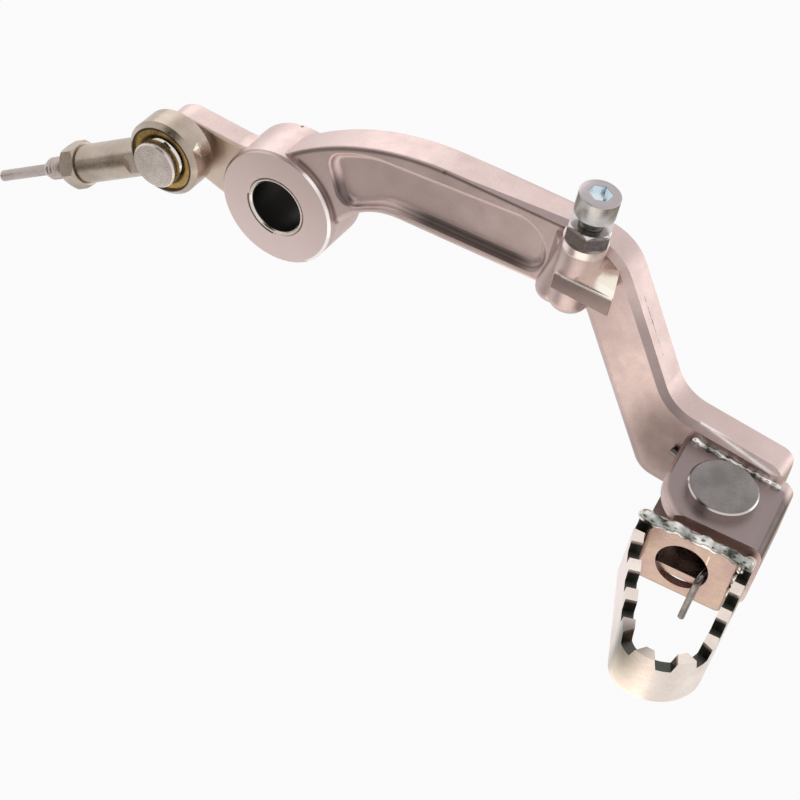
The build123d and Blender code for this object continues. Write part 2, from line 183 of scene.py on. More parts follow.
def mathNode(tree, operation, first, second=0.0):
    node = tree.nodes.new("ShaderNodeMath")
    node.operation = operation
    feed(tree, node.inputs[0], first)
    feed(tree, node.inputs[1], second)
    return node.outputs["Value"]


def vectorNode(tree, operation, first, second=(0, 0, 0)):
    node = tree.nodes.new("ShaderNodeVectorMath")
    node.operation = operation
    feed(tree, node.inputs[0], first)
    feed(tree, node.inputs[1], second)
    return node.outputs["Value" if operation in ("LENGTH", "DOT_PRODUCT") else "Vector"]


def rangeNode(tree, value, fromLow, fromHigh, toLow=0.0, toHigh=1.0, curve="SMOOTHSTEP"):
    node = tree.nodes.new("ShaderNodeMapRange")
    node.interpolation_type = curve
    feed(tree, node.inputs["Value"], value)
    node.inputs["From Min"].default_value = fromLow
    node.inputs["From Max"].default_value = fromHigh
    node.inputs["To Min"].default_value = toLow
    node.inputs["To Max"].default_value = toHigh
    return node.outputs["Result"]


def mappingNode(tree, place, kind="POINT", location=(0, 0, 0), turn=(0, 0, 0), scale=(1, 1, 1)):
    node = tree.nodes.new("ShaderNodeMapping")
    node.vector_type = kind
    node.inputs["Location"].default_value = location
    node.inputs["Rotation"].default_value = turn
    node.inputs["Scale"].default_value = scale
    tree.links.new(place, node.inputs["Vector"])
    return node.outputs["Vector"]


def noiseNode(tree, place, scale, detail=2):
    node = tree.nodes.new("ShaderNodeTexNoise")
    node.inputs["Scale"].default_value = scale
    node.inputs["Detail"].default_value = detail
    tree.links.new(place, node.inputs["Vector"])
    return node.outputs["Fac"]


def rampNode(tree, value, stops, dark=(0, 0, 0), light=(1, 1, 1)):
    node = tree.nodes.new("ShaderNodeValToRGB")
    for element, stop, colour in zip(node.color_ramp.elements, stops, (dark, light)):
        element.position = stop
        element.color = (*colour, 1)
    tree.links.new(value, node.inputs["Fac"])
    return node.outputs["Color"]


def mixNode(tree, kind, share, first, second, blend="MIX"):
    node = tree.nodes.new("ShaderNodeMix")
    node.data_type = kind
    node.blend_type = blend
    feed(tree, node.inputs["Factor"], share)
    feed(tree, node.inputs["A"], first)
    feed(tree, node.inputs["B"], second)
    return node.outputs["Result"]


def bumpNode(tree, height, strength, below=None):  # below is the bump that this one lies on
    node = tree.nodes.new("ShaderNodeBump")
    node.inputs["Strength"].default_value = strength
    node.inputs["Distance"].default_value = skin["bumpDepth"]
    tree.links.new(height, node.inputs["Height"])
    if below is not None:
        tree.links.new(below, node.inputs["Normal"])
    return node.outputs["Normal"]


def boxDistance(tree, place, centre, half):  # below 0 inside the box
    offset = vectorNode(tree, "ABSOLUTE", vectorNode(tree, "SUBTRACT", place, centre))
    split = tree.nodes.new("ShaderNodeSeparateXYZ")
    tree.links.new(vectorNode(tree, "SUBTRACT", offset, half), split.inputs["Vector"])
    widest = mathNode(tree, "MAXIMUM", split.outputs["X"], split.outputs["Y"])
    return mathNode(tree, "MAXIMUM", widest, split.outputs["Z"])


def zoneMask(tree, coords, zone):  # 1 on a patch of the piece that is coloured apart: another finish, a mark, painted light and painted shade
    place = coords.outputs["Object"]
    if "turn" in zone:  # a box that lies at a slant
        slanted = mappingNode(tree, place, "TEXTURE", zone["centre"], zone["turn"])
        far = boxDistance(tree, slanted, (0, 0, 0), zone["half"])
    elif "half" in zone:
        far = boxDistance(tree, place, zone["centre"], zone["half"])
    else:
        offset = vectorNode(tree, "SUBTRACT", place, zone["centre"])
        span = vectorNode(tree, "LENGTH", vectorNode(tree, "MULTIPLY", offset, zone["squash"]))
        far = mathNode(tree, "SUBTRACT", span, zone["radius"])
        if "inner" in zone:
            far = mathNode(tree, "MAXIMUM", far, mathNode(tree, "SUBTRACT", zone["inner"], span))
    if "within" in zone:
        far = mathNode(tree, "MAXIMUM", far, boxDistance(tree, place, *zone["within"]))
    if "ragged" in zone:  # a broken edge
        torn = mathNode(tree, "SUBTRACT", noiseNode(tree, place, zone["raggedScale"]), 0.5)
        far = mathNode(tree, "ADD", far, mathNode(tree, "MULTIPLY", torn, zone["ragged"]))
    mask = rangeNode(tree, far, -zone["soft"], zone["soft"], 1, 0)
    if "facing" in zone:
        turned = vectorNode(tree, "DOT_PRODUCT", coords.outputs["Normal"], zone["facing"])
        mask = mathNode(tree, "MULTIPLY", mask, rangeNode(tree, turned, *zone["turned"]))
    return mathNode(tree, "MULTIPLY", mask, zone["amount"])


def turningMarks(tree, shader, place, look, below):  # rings round an axis, and their stretched shine
    rings = tree.nodes.new("ShaderNodeTexWave")
    rings.wave_type = "RINGS"
    rings.rings_direction = look["ringAxis"]
    rings.inputs["Scale"].default_value = look["ringScale"]
    rings.inputs["Distortion"].default_value = skin["ringWander"]
    centred = mappingNode(tree, place, location=[-c for c in look["ringCentre"]])
    tree.links.new(centred, rings.inputs["Vector"])
    around = tree.nodes.new("ShaderNodeTangent")
    around.direction_type = "RADIAL"
    around.axis = look["ringAxis"]
    tree.links.new(around.outputs["Tangent"], shader.inputs["Tangent"])
    shader.inputs["Anisotropic"].default_value = look["ringGrain"]
    return bumpNode(tree, rings.outputs["Fac"], look["ringBump"], below)


def metalFinish(name, look):
    mat = bpy.data.materials.new(name)
    mat.use_nodes = True
    tree = mat.node_tree
    shader = tree.nodes["Principled BSDF"]
    shader.inputs["Metallic"].default_value = 1
    coords = tree.nodes.new("ShaderNodeTexCoord")
    place = coords.outputs["Object"]

    cloud = noiseNode(tree, place, look["cloudScale"], skin["cloudDetail"])  # broad patches of tone
    tone = rampNode(tree, cloud, skin["cloudRange"], look["dark"], look["light"])
    grain = noiseNode(tree, place, look["grainScale"], skin["grainDetail"])  # fine grain of the skin
    specks = rampNode(tree, grain, skin["grainRange"])
    colour = mixNode(tree, "RGBA", look["speckle"], tone, specks, "MULTIPLY")
    brushed = mappingNode(tree, place, scale=look["brushScale"])
    marks = noiseNode(tree, brushed, 1)  # tool marks, long one way and fine the other
    rough = rangeNode(tree, marks, *skin["markRange"], look["roughLow"], look["roughHigh"], "LINEAR")
    for zone in look.get("zones", []):
        mask = zoneMask(tree, coords, zone)
        colour = mixNode(tree, "RGBA", mask, colour, (*zone["colour"], 1))
        if "rough" in zone:
            rough = mixNode(tree, "FLOAT", mask, rough, zone["rough"])
    tree.links.new(colour, shader.inputs["Base Color"])
    tree.links.new(rough, shader.inputs["Roughness"])

    normal = bumpNode(tree, grain, look["grainBump"])
    normal = bumpNode(tree, marks, look["brushBump"], normal)
    if "ringCentre" in look:
        normal = turningMarks(tree, shader, place, look, normal)
    tree.links.new(normal, shader.inputs["Normal"])
    return mat


def dress(piece, mat):
    piece.data.materials.clear()
    piece.data.materials.append(mat)


faceUp = dict(facing=(0, 0, 1), turned=(0.55, 0.85))
upright = dict(facing=(0, 0, 1), turned=(0.35, 0.15))
faceOut = dict(facing=(0, -1, 0), turned=(0.6, 0.9))


def pit(x, y, z, radius):  # a small dark hole in the forging's skin
    return dict(
        centre=inMm(x, y, z),
        squash=(1, 1, 1),
        radius=radius * mm,
        soft=0.12 * mm,
        ragged=0.6 * mm,
        raggedScale=1500,
        colour=(0.10, 0.075, 0.07),
        amount=0.9,
    )


armLook = dict(
    dark=(0.62, 0.485, 0.460),
    light=(0.70, 0.555, 0.530),
    cloudScale=60,
    grainScale=2600,
    speckle=0.10,
    brushScale=(300, 300, 300),
    roughLow=0.38,
    roughHigh=0.48,
    grainBump=0.10,
    brushBump=0.05,
    zones=[
        dict(  # machined hub face, its lighter tone partly painted light
            centre=inMm(0, -6.6, 0),
            half=inMm(17, 0.8, 17),
            soft=0.1 * mm,
            colour=(0.78, 0.635, 0.605),
            rough=0.32,
            amount=0.9,
        ),
        dict(  # painted shade in the groove at the foot of the bush
            centre=(0, 0, 0),
            squash=(1, 0, 1),
            radius=8.55 * mm,
            inner=7.9 * mm,
            within=(inMm(-4, -5.8, -5), inMm(4.6, 0.6, 4.6)),
            soft=0.10 * mm,
            colour=(0.07, 0.05, 0.045),
            amount=0.9,
        ),
        dict(  # painted highlight along the front edge of the hub's face
            centre=(0, 0, 0),
            squash=(1, 0, 1),
            radius=16.6 * mm,
            inner=15.55 * mm,
            within=(inMm(13, -5.85, 2), inMm(7.5, 0.45, 13)),
            soft=0.2 * mm,
            colour=(0.99, 0.95, 0.92),
            rough=0.22,
            amount=0.85,
        ),
        dict(  # painted shade at the root of the neck beside the hub
            centre=(0, 0, 0),
            squash=(1, 0, 1),
            radius=17.6 * mm,
            inner=16.5 * mm,
            within=(inMm(13, -4.2, 6.5), inMm(10, 0.9, 13)),
            soft=0.4 * mm,
            colour=(0.13, 0.095, 0.09),
            amount=0.65,
        ),
        dict(  # painted dark reflection on the rounded edge of the fork's front side
            centre=inMm(152, -17, 0),
            half=inMm(8, 12, 4),
            soft=2.5 * mm,
            colour=(0.07, 0.055, 0.05),
            amount=0.85,
            facing=(0.70, 0, 0.71),
            turned=(0.66, 0.92),
        ),
        dict(  # milled top of the fork, darkened with a painted dark reflection
            centre=inMm(135, -17.0, 2.2),
            half=inMm(17, 12.3, 0.4),
            soft=0.15 * mm,
            colour=(0.285, 0.228, 0.222),
            rough=0.40,
            amount=0.95,
            **faceUp,
        ),
        dict(  # painted highlight on the top of the ledge
            centre=inMm(89, -9.5, 37.2),
            half=inMm(5, 5.2, 0.4),
            soft=0.2 * mm,
            colour=(0.95, 0.88, 0.76),
            rough=0.2,
            amount=0.9,
            **faceUp,
        ),
        dict(  # broken parting line down the leg
            centre=inMm(101.0, -1.2, 24.6),
            half=inMm(4.6, 0.07, 7.0),
            soft=0.12 * mm,
            ragged=0.8 * mm,
            raggedScale=700,
            colour=(0.20, 0.13, 0.12),
            amount=0.8,
        ),
        dict(  # painted dark reflection on the facet along the bar's near top edge
            centre=inMm(62, -3.3, 39),
            half=inMm(24, 8, 10),
            soft=4 * mm,
            colour=(0.30, 0.235, 0.235),
            amount=0.75,
            facing=(-0.11, -0.39, 0.91),
            turned=(0.95, 0.985),
        ),
        dict(  # painted dark reflection on the facet along the leg's near top edge
            centre=inMm(108, -4.2, 14),
            half=inMm(20, 10, 15),
            soft=6 * mm,
            colour=(0.34, 0.27, 0.265),
            amount=0.75,
            facing=(0.314, -0.925, 0.212),
            turned=(0.95, 0.985),
        ),
        dict(  # painted highlight streak along the foot's near edge
            centre=inMm(131.5, -4.1, 6.0),
            half=inMm(11, 1.0, 0.3),
            turn=(0, 0.1, 0),
            soft=0.4 * mm,
            ragged=0.5 * mm,
            raggedScale=300,
            colour=(0.99, 0.94, 0.91),
            rough=0.24,
            amount=0.85,
        ),
        dict(  # painted light on the outboard side of the tail
            centre=inMm(-19, -3.5, 0),
            half=inMm(6, 0.4, 14),
            soft=0.2 * mm,
            colour=(0.95, 0.80, 0.64),
            amount=0.6,
            **faceOut,
        ),
        dict(  # painted shade on the front of the ledge
            centre=inMm(85.9, -14.35, 34.0),
            half=inMm(9, 0.45, 2.45),
            turn=(0, -0.0875, 0),
            soft=0.1 * mm,
            colour=(0.22, 0.165, 0.15),
            amount=0.8,
            **faceOut,
        ),
        dict(  # lower wall of the pocket, in the shade of its lip
            centre=inMm(52, -3.6, 21.2),
            half=inMm(17, 20, 7),
            turn=(0, -0.126, 0),
            soft=6 * mm,
            colour=(0.10, 0.078, 0.072),
            amount=0.93,
            facing=(0, 0, 1),
            turned=(0.03, 0.4),
        ),
        dict(  # shaded root end of the pocket
            centre=inMm(15.6, -3.6, 13.2),
            squash=(1, 1, 1),
            radius=4.6 * mm,
            soft=2.6 * mm,
            colour=(0.11, 0.085, 0.082),
            amount=0.85,
            facing=(0.89, 0, 0.46),
            turned=(0.03, 0.4),
        ),
        dict(  # painted highlight on the upper lip of the pocket
            centre=inMm(46, -3.6, 32),
            half=inMm(36, 2.4, 12),
            soft=0.5 * mm,
            colour=(0.92, 0.73, 0.66),
            amount=0.8,
            facing=(0, 0, -1),
            turned=(0.03, 0.35),
        ),
        dict(  # painted dark line of shade under the neck's crisp top edge
            centre=inMm(50.8, 0, -33.7),
            squash=(1, 0, 1),
            radius=71.65 * mm,
            inner=70.75 * mm,
            within=(inMm(21.5, -5, 27), inMm(20.5, 1.5, 14)),
            soft=0.35 * mm,
            colour=(0.20, 0.15, 0.14),
            amount=0.8,
            **faceOut,
        ),
        dict(  # the same painted dark line, run on along the bar's facet
            centre=inMm(59.5, -5, 38.92),
            half=inMm(18.5, 1.5, 0.4),
            turn=(0, -0.104, 0),
            soft=0.35 * mm,
            colour=(0.15, 0.11, 0.10),
            amount=0.85,
            **faceOut,
        ),
        dict(  # painted highlight on the front edge of the ledge's top
            centre=inMm(86.6, -13.0, 36.6),
            half=inMm(6.4, 1.7, 0.7),
            turn=(0, -0.0875, 0),
            soft=0.5 * mm,
            colour=(0.98, 0.93, 0.84),
            rough=0.2,
            amount=0.9,
            facing=(0, 0, 1),
            turned=(0.1, 0.5),
        ),
        dict(  # painted shade on the heel of the leg
            centre=inMm(115, -4.5, -4),
            squash=(1, 1, 0.85),
            radius=10.5 * mm,
            soft=6.5 * mm,
            colour=(0.17, 0.125, 0.115),
            amount=0.85,
            **faceOut,
        ),
        dict(  # painted highlight on the seat under the nut
            centre=inMm(screwX, screwY, 44.3),
            half=inMm(6.5, 6.5, 1.2),
            soft=0.5 * mm,
            colour=(0.98, 0.86, 0.82),
            rough=0.25,
            amount=0.8,
        ),
        pit(96.9, -5.2, 27.6, 0.5),
        pit(-4.0, 7.8, 15.8, 0.45),
    ],
)
bushLook = dict(
    dark=(0.62, 0.57, 0.50),
    light=(0.80, 0.75, 0.68),
    cloudScale=150,
    grainScale=3000,
    speckle=0.1,
    brushScale=(3000, 400, 3000),
    roughLow=0.16,
    roughHigh=0.28,
    grainBump=0.06,
    brushBump=0.08,
    zones=[
        dict(  # near-black inside the bore
            centre=(0, 0, 0),
            squash=(1, 0, 1),
            radius=7.25 * mm,
            soft=0.08 * mm,
            colour=(0.012, 0.011, 0.010),
            rough=0.5,
            amount=1,
        ),
    ],
)
rodEndLook = dict(
    dark=(0.41, 0.335, 0.275),
    light=(0.55, 0.462, 0.39),
    cloudScale=120,
    grainScale=1800,
    speckle=0.06,
    brushScale=(900, 900, 900),
    roughLow=0.24,
    roughHigh=0.34,
    grainBump=0.025,
    brushBump=0.05,
    zones=[
        dict(  # painted shade in the groove round the liner
            centre=inMm(eyeX, 0, eyeZ),
            squash=(1, 0, 1),
            radius=9.05 * mm,
            inner=8.3 * mm,
            within=(inMm(eyeX, -14, eyeZ), inMm(10, 0.4, 10)),
            soft=0.1 * mm,
            colour=(0.035, 0.028, 0.02),
            amount=0.9,
        ),
        dict(  # rough patch on the barrel with a painted glint
            centre=inMm(-22.0, -10.6, 8.2),
            squash=(1, 1.1, 0.75),
            radius=1.3 * mm,
            soft=0.3 * mm,
            ragged=3.4 * mm,
            raggedScale=1100,
            colour=(0.98, 0.92, 0.78),
            rough=0.12,
            amount=0.85,
        ),
    ],
)
raceLook = dict(
    dark=(0.44, 0.28, 0.09),
    light=(0.60, 0.41, 0.15),
    cloudScale=200,
    grainScale=2500,
    speckle=0.15,
    brushScale=(1200, 1200, 1200),
    roughLow=0.20,
    roughHigh=0.32,
    grainBump=0.1,
    brushBump=0.06,
    zones=[
        dict(  # shadowed inner edge beside the ball
            centre=inMm(eyeX, 0, eyeZ),
            squash=(1, 0, 1),
            radius=7.0 * mm,
            soft=0.35 * mm,
            colour=(0.05, 0.035, 0.015),
            amount=0.9,
        ),
    ],
)
ballLook = dict(
    dark=(0.66, 0.65, 0.63),
    light=(0.78, 0.77, 0.75),
    cloudScale=100,
    grainScale=3000,
    speckle=0.04,
    brushScale=(600, 4000, 600),
    roughLow=0.04,
    roughHigh=0.08,
    grainBump=0.01,
    brushBump=0.02,
)
ballPinLook = dict(
    dark=(0.68, 0.60, 0.55),
    light=(0.82, 0.73, 0.68),
    cloudScale=150,
    grainScale=2200,
    speckle=0.10,
    brushScale=(900, 900, 900),
    roughLow=0.22,
    roughHigh=0.32,
    grainBump=0.06,
    brushBump=0.04,
    ringCentre=inMm(eyeX, 0, eyeZ),
    ringAxis="Y",
    ringScale=900,
    ringBump=0.08,
    ringGrain=0.85,
)
stepPinLook = dict(
    dark=(0.20, 0.178, 0.173),
    light=(0.285, 0.257, 0.25),
    cloudScale=120,
    grainScale=2400,
    speckle=0.14,
    brushScale=(900, 900, 900),
    roughLow=0.26,
    roughHigh=0.38,
    grainBump=0.08,
    brushBump=0.05,
    ringCentre=inMm(pinX, pinY, 0),
    ringAxis="Z",
    ringScale=260,
    ringBump=0.10,
    ringGrain=0.6,
    zones=[
        dict(  # bright turned rim of the head
            centre=inMm(pinX, pinY, 0),
            squash=(1, 1, 0),
            radius=9.0 * mm,
            inner=8.25 * mm,
            soft=0.1 * mm,
            within=(inMm(pinX, pinY, 3.5), inMm(10, 10, 2)),
            colour=(0.62, 0.57, 0.54),
            rough=0.15,
            amount=0.9,
        ),
    ],
)
pushRodLook = dict(
    dark=(0.42, 0.355, 0.335),
    light=(0.53, 0.455, 0.43),
    cloudScale=150,
    grainScale=2600,
    speckle=0.12,
    brushScale=(900, 900, 900),
    roughLow=0.20,
    roughHigh=0.32,
    grainBump=0.08,
    brushBump=0.05,
)
screwLook = dict(
    dark=(0.50, 0.47, 0.46),
    light=(0.64, 0.61, 0.60),
    cloudScale=300,
    grainScale=2400,
    speckle=0.10,
    brushScale=(1200, 1200, 1200),
    roughLow=0.30,
    roughHigh=0.40,
    grainBump=0.05,
    brushBump=0.04,
    zones=[
        dict(  # dull top of the head
            centre=inMm(screwX, screwY, 59),
            half=inMm(6, 6, 0.35),
            soft=0.1 * mm,
            colour=(0.44, 0.395, 0.40),
            rough=0.36,
            amount=0.9,
        ),
        dict(  # painted bright reflection in the broached socket
            centre=inMm(screwX, screwY, 0),
            squash=(1, 1, 0),
            radius=3.0 * mm,
            soft=0.1 * mm,
            within=(inMm(screwX, screwY, 57), inMm(4, 4, 1.85)),
            colour=(0.86, 0.92, 0.96),
            rough=0.14,
            amount=0.95,
        ),
        dict(  # painted shade on the thread under the head
            centre=inMm(screwX, screwY, 51.3),
            half=inMm(3.4, 3.4, 1.6),
            soft=0.15 * mm,
            colour=(0.10, 0.10, 0.09),
            amount=0.85,
        ),
    ],
)
nutLook = dict(
    dark=(0.58, 0.55, 0.53),
    light=(0.72, 0.69, 0.67),
    cloudScale=300,
    grainScale=2400,
    speckle=0.10,
    brushScale=(1200, 1200, 1200),
    roughLow=0.14,
    roughHigh=0.24,
    grainBump=0.06,
    brushBump=0.04,
    zones=[
        dict(  # painted shade on the upright flats
            centre=inMm(screwX, screwY, 46.9),
            half=inMm(8, 8, 2.1),
            soft=0.1 * mm,
            colour=(0.34, 0.31, 0.30),
            amount=0.85,
            **upright,
        ),
    ],
)
bracketLook = dict(
    dark=(0.38, 0.262, 0.262),
    light=(0.45, 0.35, 0.287),
    cloudScale=90,
    grainScale=2200,
    speckle=0.10,
    brushScale=(500, 500, 900),
    roughLow=0.22,
    roughHigh=0.34,
    grainBump=0.08,
    brushBump=0.05,
    zones=[
        dict(  # thin bright yellow stroke beside the hole
            centre=inMm(140.05, -31.06, -3.4),
            half=inMm(0.1, 0.6, 1.6),
            soft=0.12 * mm,
            colour=(0.95, 0.86, 0.55),
            amount=0.8,
        ),
    ],
)
cleatLook = dict(
    dark=(0.75, 0.63, 0.58),
    light=(0.92, 0.83, 0.745),
    cloudScale=90,
    grainScale=2200,
    speckle=0.08,
    brushScale=(500, 500, 1200),
    roughLow=0.27,
    roughHigh=0.37,
    grainBump=0.06,
    brushBump=0.05,
    zones=[
        dict(  # painted shade in the notches between the teeth
            centre=inMm(138, -47, -1.8),
            half=inMm(30, 30, 1.6),
            soft=0.3 * mm,
            colour=(0.045, 0.05, 0.042),
            rough=0.3,
            amount=0.95,
            facing=(0, 0, 1),
            turned=(0.1, 0.22),
        ),
        dict(  # painted shade on the loop's bend
            centre=inMm(137.6, -66.0, -1.5),
            squash=(1, 1, 0.5),
            radius=4.8 * mm,
            soft=4.2 * mm,
            colour=(0.09, 0.085, 0.07),
            amount=0.95,
        ),
        dict(  # painted light, pink, on the rear run of the strip
            centre=inMm(124, -45, -6),
            half=inMm(6, 17, 10),
            soft=2 * mm,
            colour=(0.98, 0.84, 0.83),
            rough=0.4,
            amount=0.85,
            facing=(-1, 0, 0),
            turned=(0.3, 0.7),
        ),
    ],
)
springLook = dict(
    dark=(0.16, 0.145, 0.135),
    light=(0.28, 0.25, 0.235),
    cloudScale=300,
    grainScale=2400,
    speckle=0.12,
    brushScale=(900, 900, 900),
    roughLow=0.14,
    roughHigh=0.26,
    grainBump=0.05,
    brushBump=0.04,
)
# mottled from near-black to near-white, the near-white patches painted highlights on the weld
weldLook = dict(
    dark=(0.06, 0.07, 0.055),
    light=(0.98, 0.96, 0.92),
    cloudScale=190,
    grainScale=2400,
    speckle=0.04,
    brushScale=(900, 900, 900),
    roughLow=0.22,
    roughHigh=0.32,
    grainBump=0.01,
    brushBump=0.02,
)

armMetal = metalFinish("satinForging", armLook)
bushSteel = metalFinish("boredBush", bushLook)
rodEndSteel = metalFinish("champagneRodEnd", rodEndLook)
raceBrass = metalFinish("linerBrass", raceLook)
ballChrome = metalFinish("polishedBall", ballLook)
ballPinSteel = metalFinish("turnedBallPin", ballPinLook)
stepPinSteel = metalFinish("turnedStepPin", stepPinLook)
pushRodSteel = metalFinish("drawnRod", pushRodLook)
screwZinc = metalFinish("brightScrew", screwLook)
nutZinc = metalFinish("nutPaintedShadeFlats", nutLook)
bracketZinc = metalFinish("tintedPlate", bracketLook)
cleatZinc = metalFinish("brightCleat", cleatLook)
springSteel = metalFinish("oiledWire", springLook)
weldMetal = metalFinish("shinyWeld", weldLook)

nodeFinish = dict(
    pedal_arm=armMetal,
    pivot_bush=bushSteel,
    rod_end_body=rodEndSteel,
    rod_end_race=raceBrass,
    rod_end_ball=ballChrome,
    rod_end_pin=ballPinSteel,
    rod_end_lock_nut=rodEndSteel,
    push_rod=pushRodSteel,
    stop_screw=screwZinc,
    stop_screw_lock_nut=nutZinc,
    step_bracket=bracketZinc,
    step_cleat=cleatZinc,
    step_pivot_pin=stepPinSteel,
    step_spring=springSteel,
)
for nodeName, finish in nodeFinish.items():
    dress(nodes[nodeName], finish)
print("finishes made,", len(nodeFinish), "nodes dressed")

# Threads: a small diamond section run up a helix

threadForm = dict(
    root=2.5 * mm,
    crest=3.0 * mm,
    pitch=1.0 * mm,
    foot=0.46,  # half the ridge's foot, as a share of the pitch
    sunk=0.1 * mm,  # how far the ridge stands into its core
    steps=28,
)


def helixRidge(length, name):  # the ridge of a thread from the origin up +Z
    clearSelection()
    half = threadForm["pitch"] * threadForm["foot"]
    bpy.ops.mesh.primitive_circle_add(
        vertices=4, radius=half, rotation=(math.pi / 2, 0, 0), enter_editmode=True
    )
    piece = bpy.context.object
    piece.name = name
    bpy.ops.mesh.select_all(action="SELECT")
    deep = threadForm["crest"] - threadForm["root"] + threadForm["sunk"]
    bpy.ops.transform.resize(value=(deep / half, 1, 1))
    bpy.ops.transform.translate(value=(threadForm["crest"] - deep, 0, 0))
    bpy.ops.object.mode_set(mode="OBJECT")
    bpy.ops.object.transform_apply(location=True, rotation=True, scale=True)
    turns = piece.modifiers.new("turns", "SCREW")
    turns.axis = "Z"
    turns.screw_offset = threadForm["pitch"]
    turns.iterations = max(1, round(length / threadForm["pitch"]))
    turns.steps = turns.render_steps = threadForm["steps"]
    turns.use_merge_vertices = False
    applyAll(piece)
    outwards(piece)
    return piece


# Stop screw with a knurled head, hexagon socket and real thread

stopScrew = dict(
    place=inMm(screwX, screwY, 53.0),
    headRadius=5.0 * mm,
    headHeight=6.0 * mm,
    underShare=0.95,  # the head's underside, as a share of its radius
    underRise=0.25 * mm,
    underFlare=1.05,  # how much it widens over that rise
    knurls=56,
    knurlDepth=0.022,  # as a share of the radius
    knurlIn=0.1 * mm,  # height over which the knurl starts
    knurlOut=0.12 * mm,  # height over which it runs out
    rim=0.5 * mm,
    rimShare=0.35,  # first step of the rim, as a share of its height
    rimShrink=(0.965, 0.93),  # the rim's two steps inwards
    socketFlats=5.0 * mm,
    socketDepth=3.2 * mm,
    stemLength=28.8 * mm,
    stemSides=48,
    stemLap=0.2 * mm,  # how far the stem stands into the head
    tipEdge=0.7 * mm,
    tipIn=0.35 * mm,  # how far the tip's edge leans in
    margin=0.05 * mm,  # for picking vertices above a height
)


def makeScrewHead(size):
    low = size["underRise"]
    high = size["headHeight"] - size["rim"]
    rimStep = size["rim"] * size["rimShare"]
    sunk = 1 - size["knurlDepth"]
    corner = math.pi / size["knurls"]

    def valley(co):  # every other corner of the ring
        return round(math.atan2(co.y, co.x) / corner) % 2 == 1

    head = startDisc(size["headRadius"] * size["underShare"], 2 * size["knurls"])
    raiseRing(low, size["underFlare"])
    raiseRing(size["knurlIn"], 1)
    pickVerts(head, lambda co: co.z > low + size["margin"] and valley(co))
    bpy.ops.transform.resize(value=(sunk, sunk, 1))
    pickVerts(head, lambda co: co.z > low + size["margin"])
    raiseRing(high - low - size["knurlIn"], 1)
    raiseRing(size["knurlOut"], 1)
    pickVerts(head, lambda co: co.z > high + size["margin"] and valley(co))
    bpy.ops.transform.resize(value=(1 / sunk, 1 / sunk, 1))
    pickVerts(head, lambda co: co.z > high + size["margin"])
    raiseRing(rimStep, size["rimShrink"][0])
    raiseRing(size["headHeight"] - high - size["knurlOut"] - rimStep, size["rimShrink"][1])
    clearSelection()
    bpy.ops.mesh.primitive_cylinder_add(
        vertices=6,
        radius=size["socketFlats"] / math.sqrt(3),
        depth=2 * size["socketDepth"],
        location=(0, 0, size["headHeight"]),
    )
    cutAway(head, bpy.context.object)
    outwards(head)
    return head


def makeScrewStem(size):  # hangs down from the head's underside
    tip = threadForm["root"] - size["tipIn"]
    stem = startDisc(tip, size["stemSides"])
    raiseRing(size["tipEdge"], threadForm["root"] / tip)
    raiseRing(size["stemLength"] - size["tipEdge"] + size["stemLap"], 1)
    settle(stem, (0, 0, -size["stemLength"]))
    outwards(stem)
    return stem


def makeStopScrew(size):
    head = makeScrewHead(size)
    stem = makeScrewStem(size)
    ridge = helixRidge(size["stemLength"] - 2 * size["tipEdge"], "screwRidge")
    settle(ridge, (0, 0, size["tipEdge"] - size["stemLength"]))
    piece = joinPieces([head, stem, ridge], "stop_screw_dressed")
    settle(piece, size["place"])
    return piece


screwPiece = makeStopScrew(stopScrew)
dress(screwPiece, screwZinc)
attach(screwPiece, "stop_screw")
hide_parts("stop_screw")
print("stop screw made,", len(screwPiece.data.polygons), "faces")

# Push rod: threaded shank, cone and thin nose

pushRod = dict(  # start, threadEnd and end are measured from the eye
    eye=inMm(eyeX, eyeY, eyeZ),
    downDeg=38.5,
    start=17.0 * mm,
    threadEnd=44.0 * mm,
    plainEnd=0.8 * mm,  # last stretch of the shank, without thread
    shoulderRise=0.3 * mm,
    shoulderShare=0.98,  # of the thread's crest
    ridgeGap=1.4 * mm,  # how much sooner the ridge ends
    cone=3.0 * mm,
    noseRadius=1.5 * mm,
    end=64.5 * mm,
    tipEdge=0.3 * mm,
    sides=40,
)


def makePushRod(size):
    length = size["threadEnd"] - size["start"]
    root, crest, nose = threadForm["root"], threadForm["crest"], size["noseRadius"]
    core = startDisc(root, size["sides"])
    raiseRing(length - size["plainEnd"], 1)
    raiseRing(size["shoulderRise"], crest * size["shoulderShare"] / root)
    raiseRing(size["plainEnd"] - size["shoulderRise"], 1 / size["shoulderShare"])
    raiseRing(size["cone"], nose / crest)
    raiseRing(size["end"] - size["threadEnd"] - size["cone"] - size["tipEdge"], 1)
    raiseRing(size["tipEdge"], (nose - size["tipEdge"]) / nose)
    outwards(core)
    ridge = helixRidge(length - size["ridgeGap"], "rodRidge")
    piece = joinPieces([core, ridge], "push_rod_dressed")
    settle(piece, (0, 0, size["start"]))
    down = math.radians(size["downDeg"])
    along = Vector((-math.cos(down), 0, -math.sin(down)))
    settle(piece, size["eye"], along.to_track_quat("Z", "Y").to_matrix())
    return piece


rodPiece = makePushRod(pushRod)
dress(rodPiece, pushRodSteel)
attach(rodPiece, "push_rod")
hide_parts("push_rod")
print("push rod made,", len(rodPiece.data.polygons), "faces")

# Return spring: a copy of the CAD wire, which sits between the arm and the step


def makeSpring():
    piece = nodes["step_spring"].copy()
    piece.data = nodes["step_spring"].data.copy()
    bpy.context.scene.collection.objects.link(piece)
    piece.name = "step_spring_dressed"
    piece.parent = None
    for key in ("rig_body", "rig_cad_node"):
        del piece[key]
    outwards(piece)
    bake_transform(piece)
    return piece


